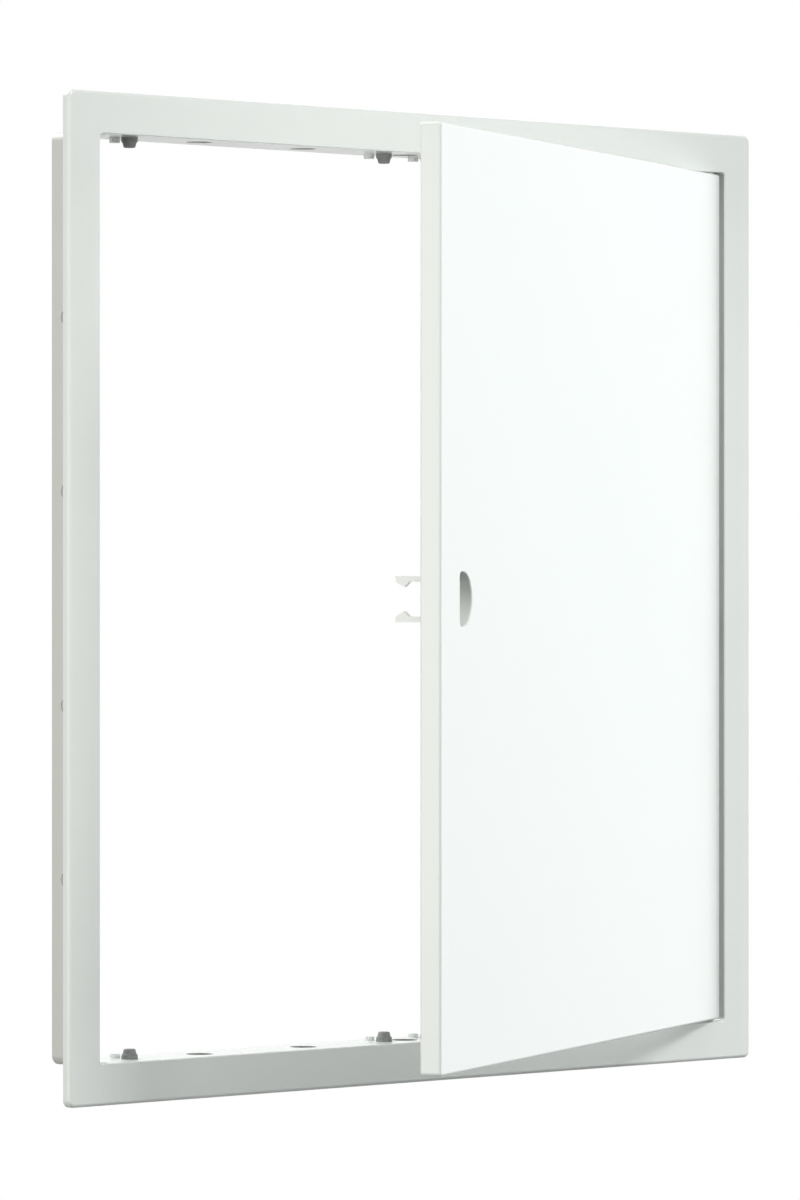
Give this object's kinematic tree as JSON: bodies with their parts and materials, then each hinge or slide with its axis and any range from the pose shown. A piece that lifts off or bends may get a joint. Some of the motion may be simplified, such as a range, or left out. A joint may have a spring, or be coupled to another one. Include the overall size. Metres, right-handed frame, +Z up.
{
  "type": "access panel",
  "caption": "Square white plastic access panel: a flanged frame with a shallow collar and a flush hinged door with a D-shaped finger scoop and a snap latch.",
  "frame": {"origin": "centre of the opening, on the back face of the flange, where it meets the wall", "axes": "+X to the right seen from the room, +Y into the wall, +Z up; the door stands partly open as in the picture"},
  "size_m": [0.325, 0.145, 0.325],
  "materials": {
    "frame_plastic": "glossy white",
    "door_plastic": "glossy white",
    "buffer_rubber": "matte dark grey"
  },
  "bodies": {
    "frame_body": {"frame": "frame_plastic", "top_buffer_1": "buffer_rubber", "top_buffer_2": "buffer_rubber", "top_buffer_3": "buffer_rubber", "top_buffer_4": "buffer_rubber", "bottom_buffer_1": "buffer_rubber", "bottom_buffer_2": "buffer_rubber", "bottom_buffer_3": "buffer_rubber", "bottom_buffer_4": "buffer_rubber"},
    "door_body": {"door": "door_plastic"}
  },
  "joints": [
    {"name": "door_hinge", "type": "hinge", "parent": "frame_body", "child": "door_body", "pos_m": [0.1448, 0.0005, 0], "axis": [0, 0, 1], "range_deg": [-25, 70]}
  ]
}
